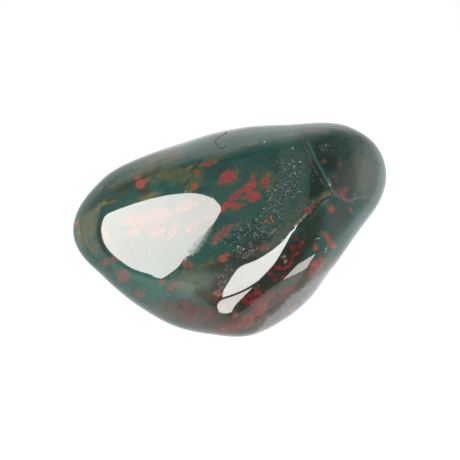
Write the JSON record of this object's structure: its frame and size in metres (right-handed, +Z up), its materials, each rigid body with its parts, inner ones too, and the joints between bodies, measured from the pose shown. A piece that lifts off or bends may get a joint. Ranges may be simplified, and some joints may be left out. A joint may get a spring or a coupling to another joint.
{
  "type": "tumbled bloodstone pebble",
  "caption": "Polished dark green pebble with red and ochre spots, a long blunt wedge with soft ground faces, hairline cracks and a flat underside to rest on.",
  "frame": {"origin": "on the ground below the middle of the stone's bounding box", "axes": "+X along the stone's length towards its broad shoulder end, +Y to its rear, +Z up"},
  "size_m": [0.042, 0.0318, 0.0175],
  "materials": {
    "polished_stone": "polished"
  },
  "bodies": {
    "root": {"stone": "polished_stone"}
  },
  "joints": []
}
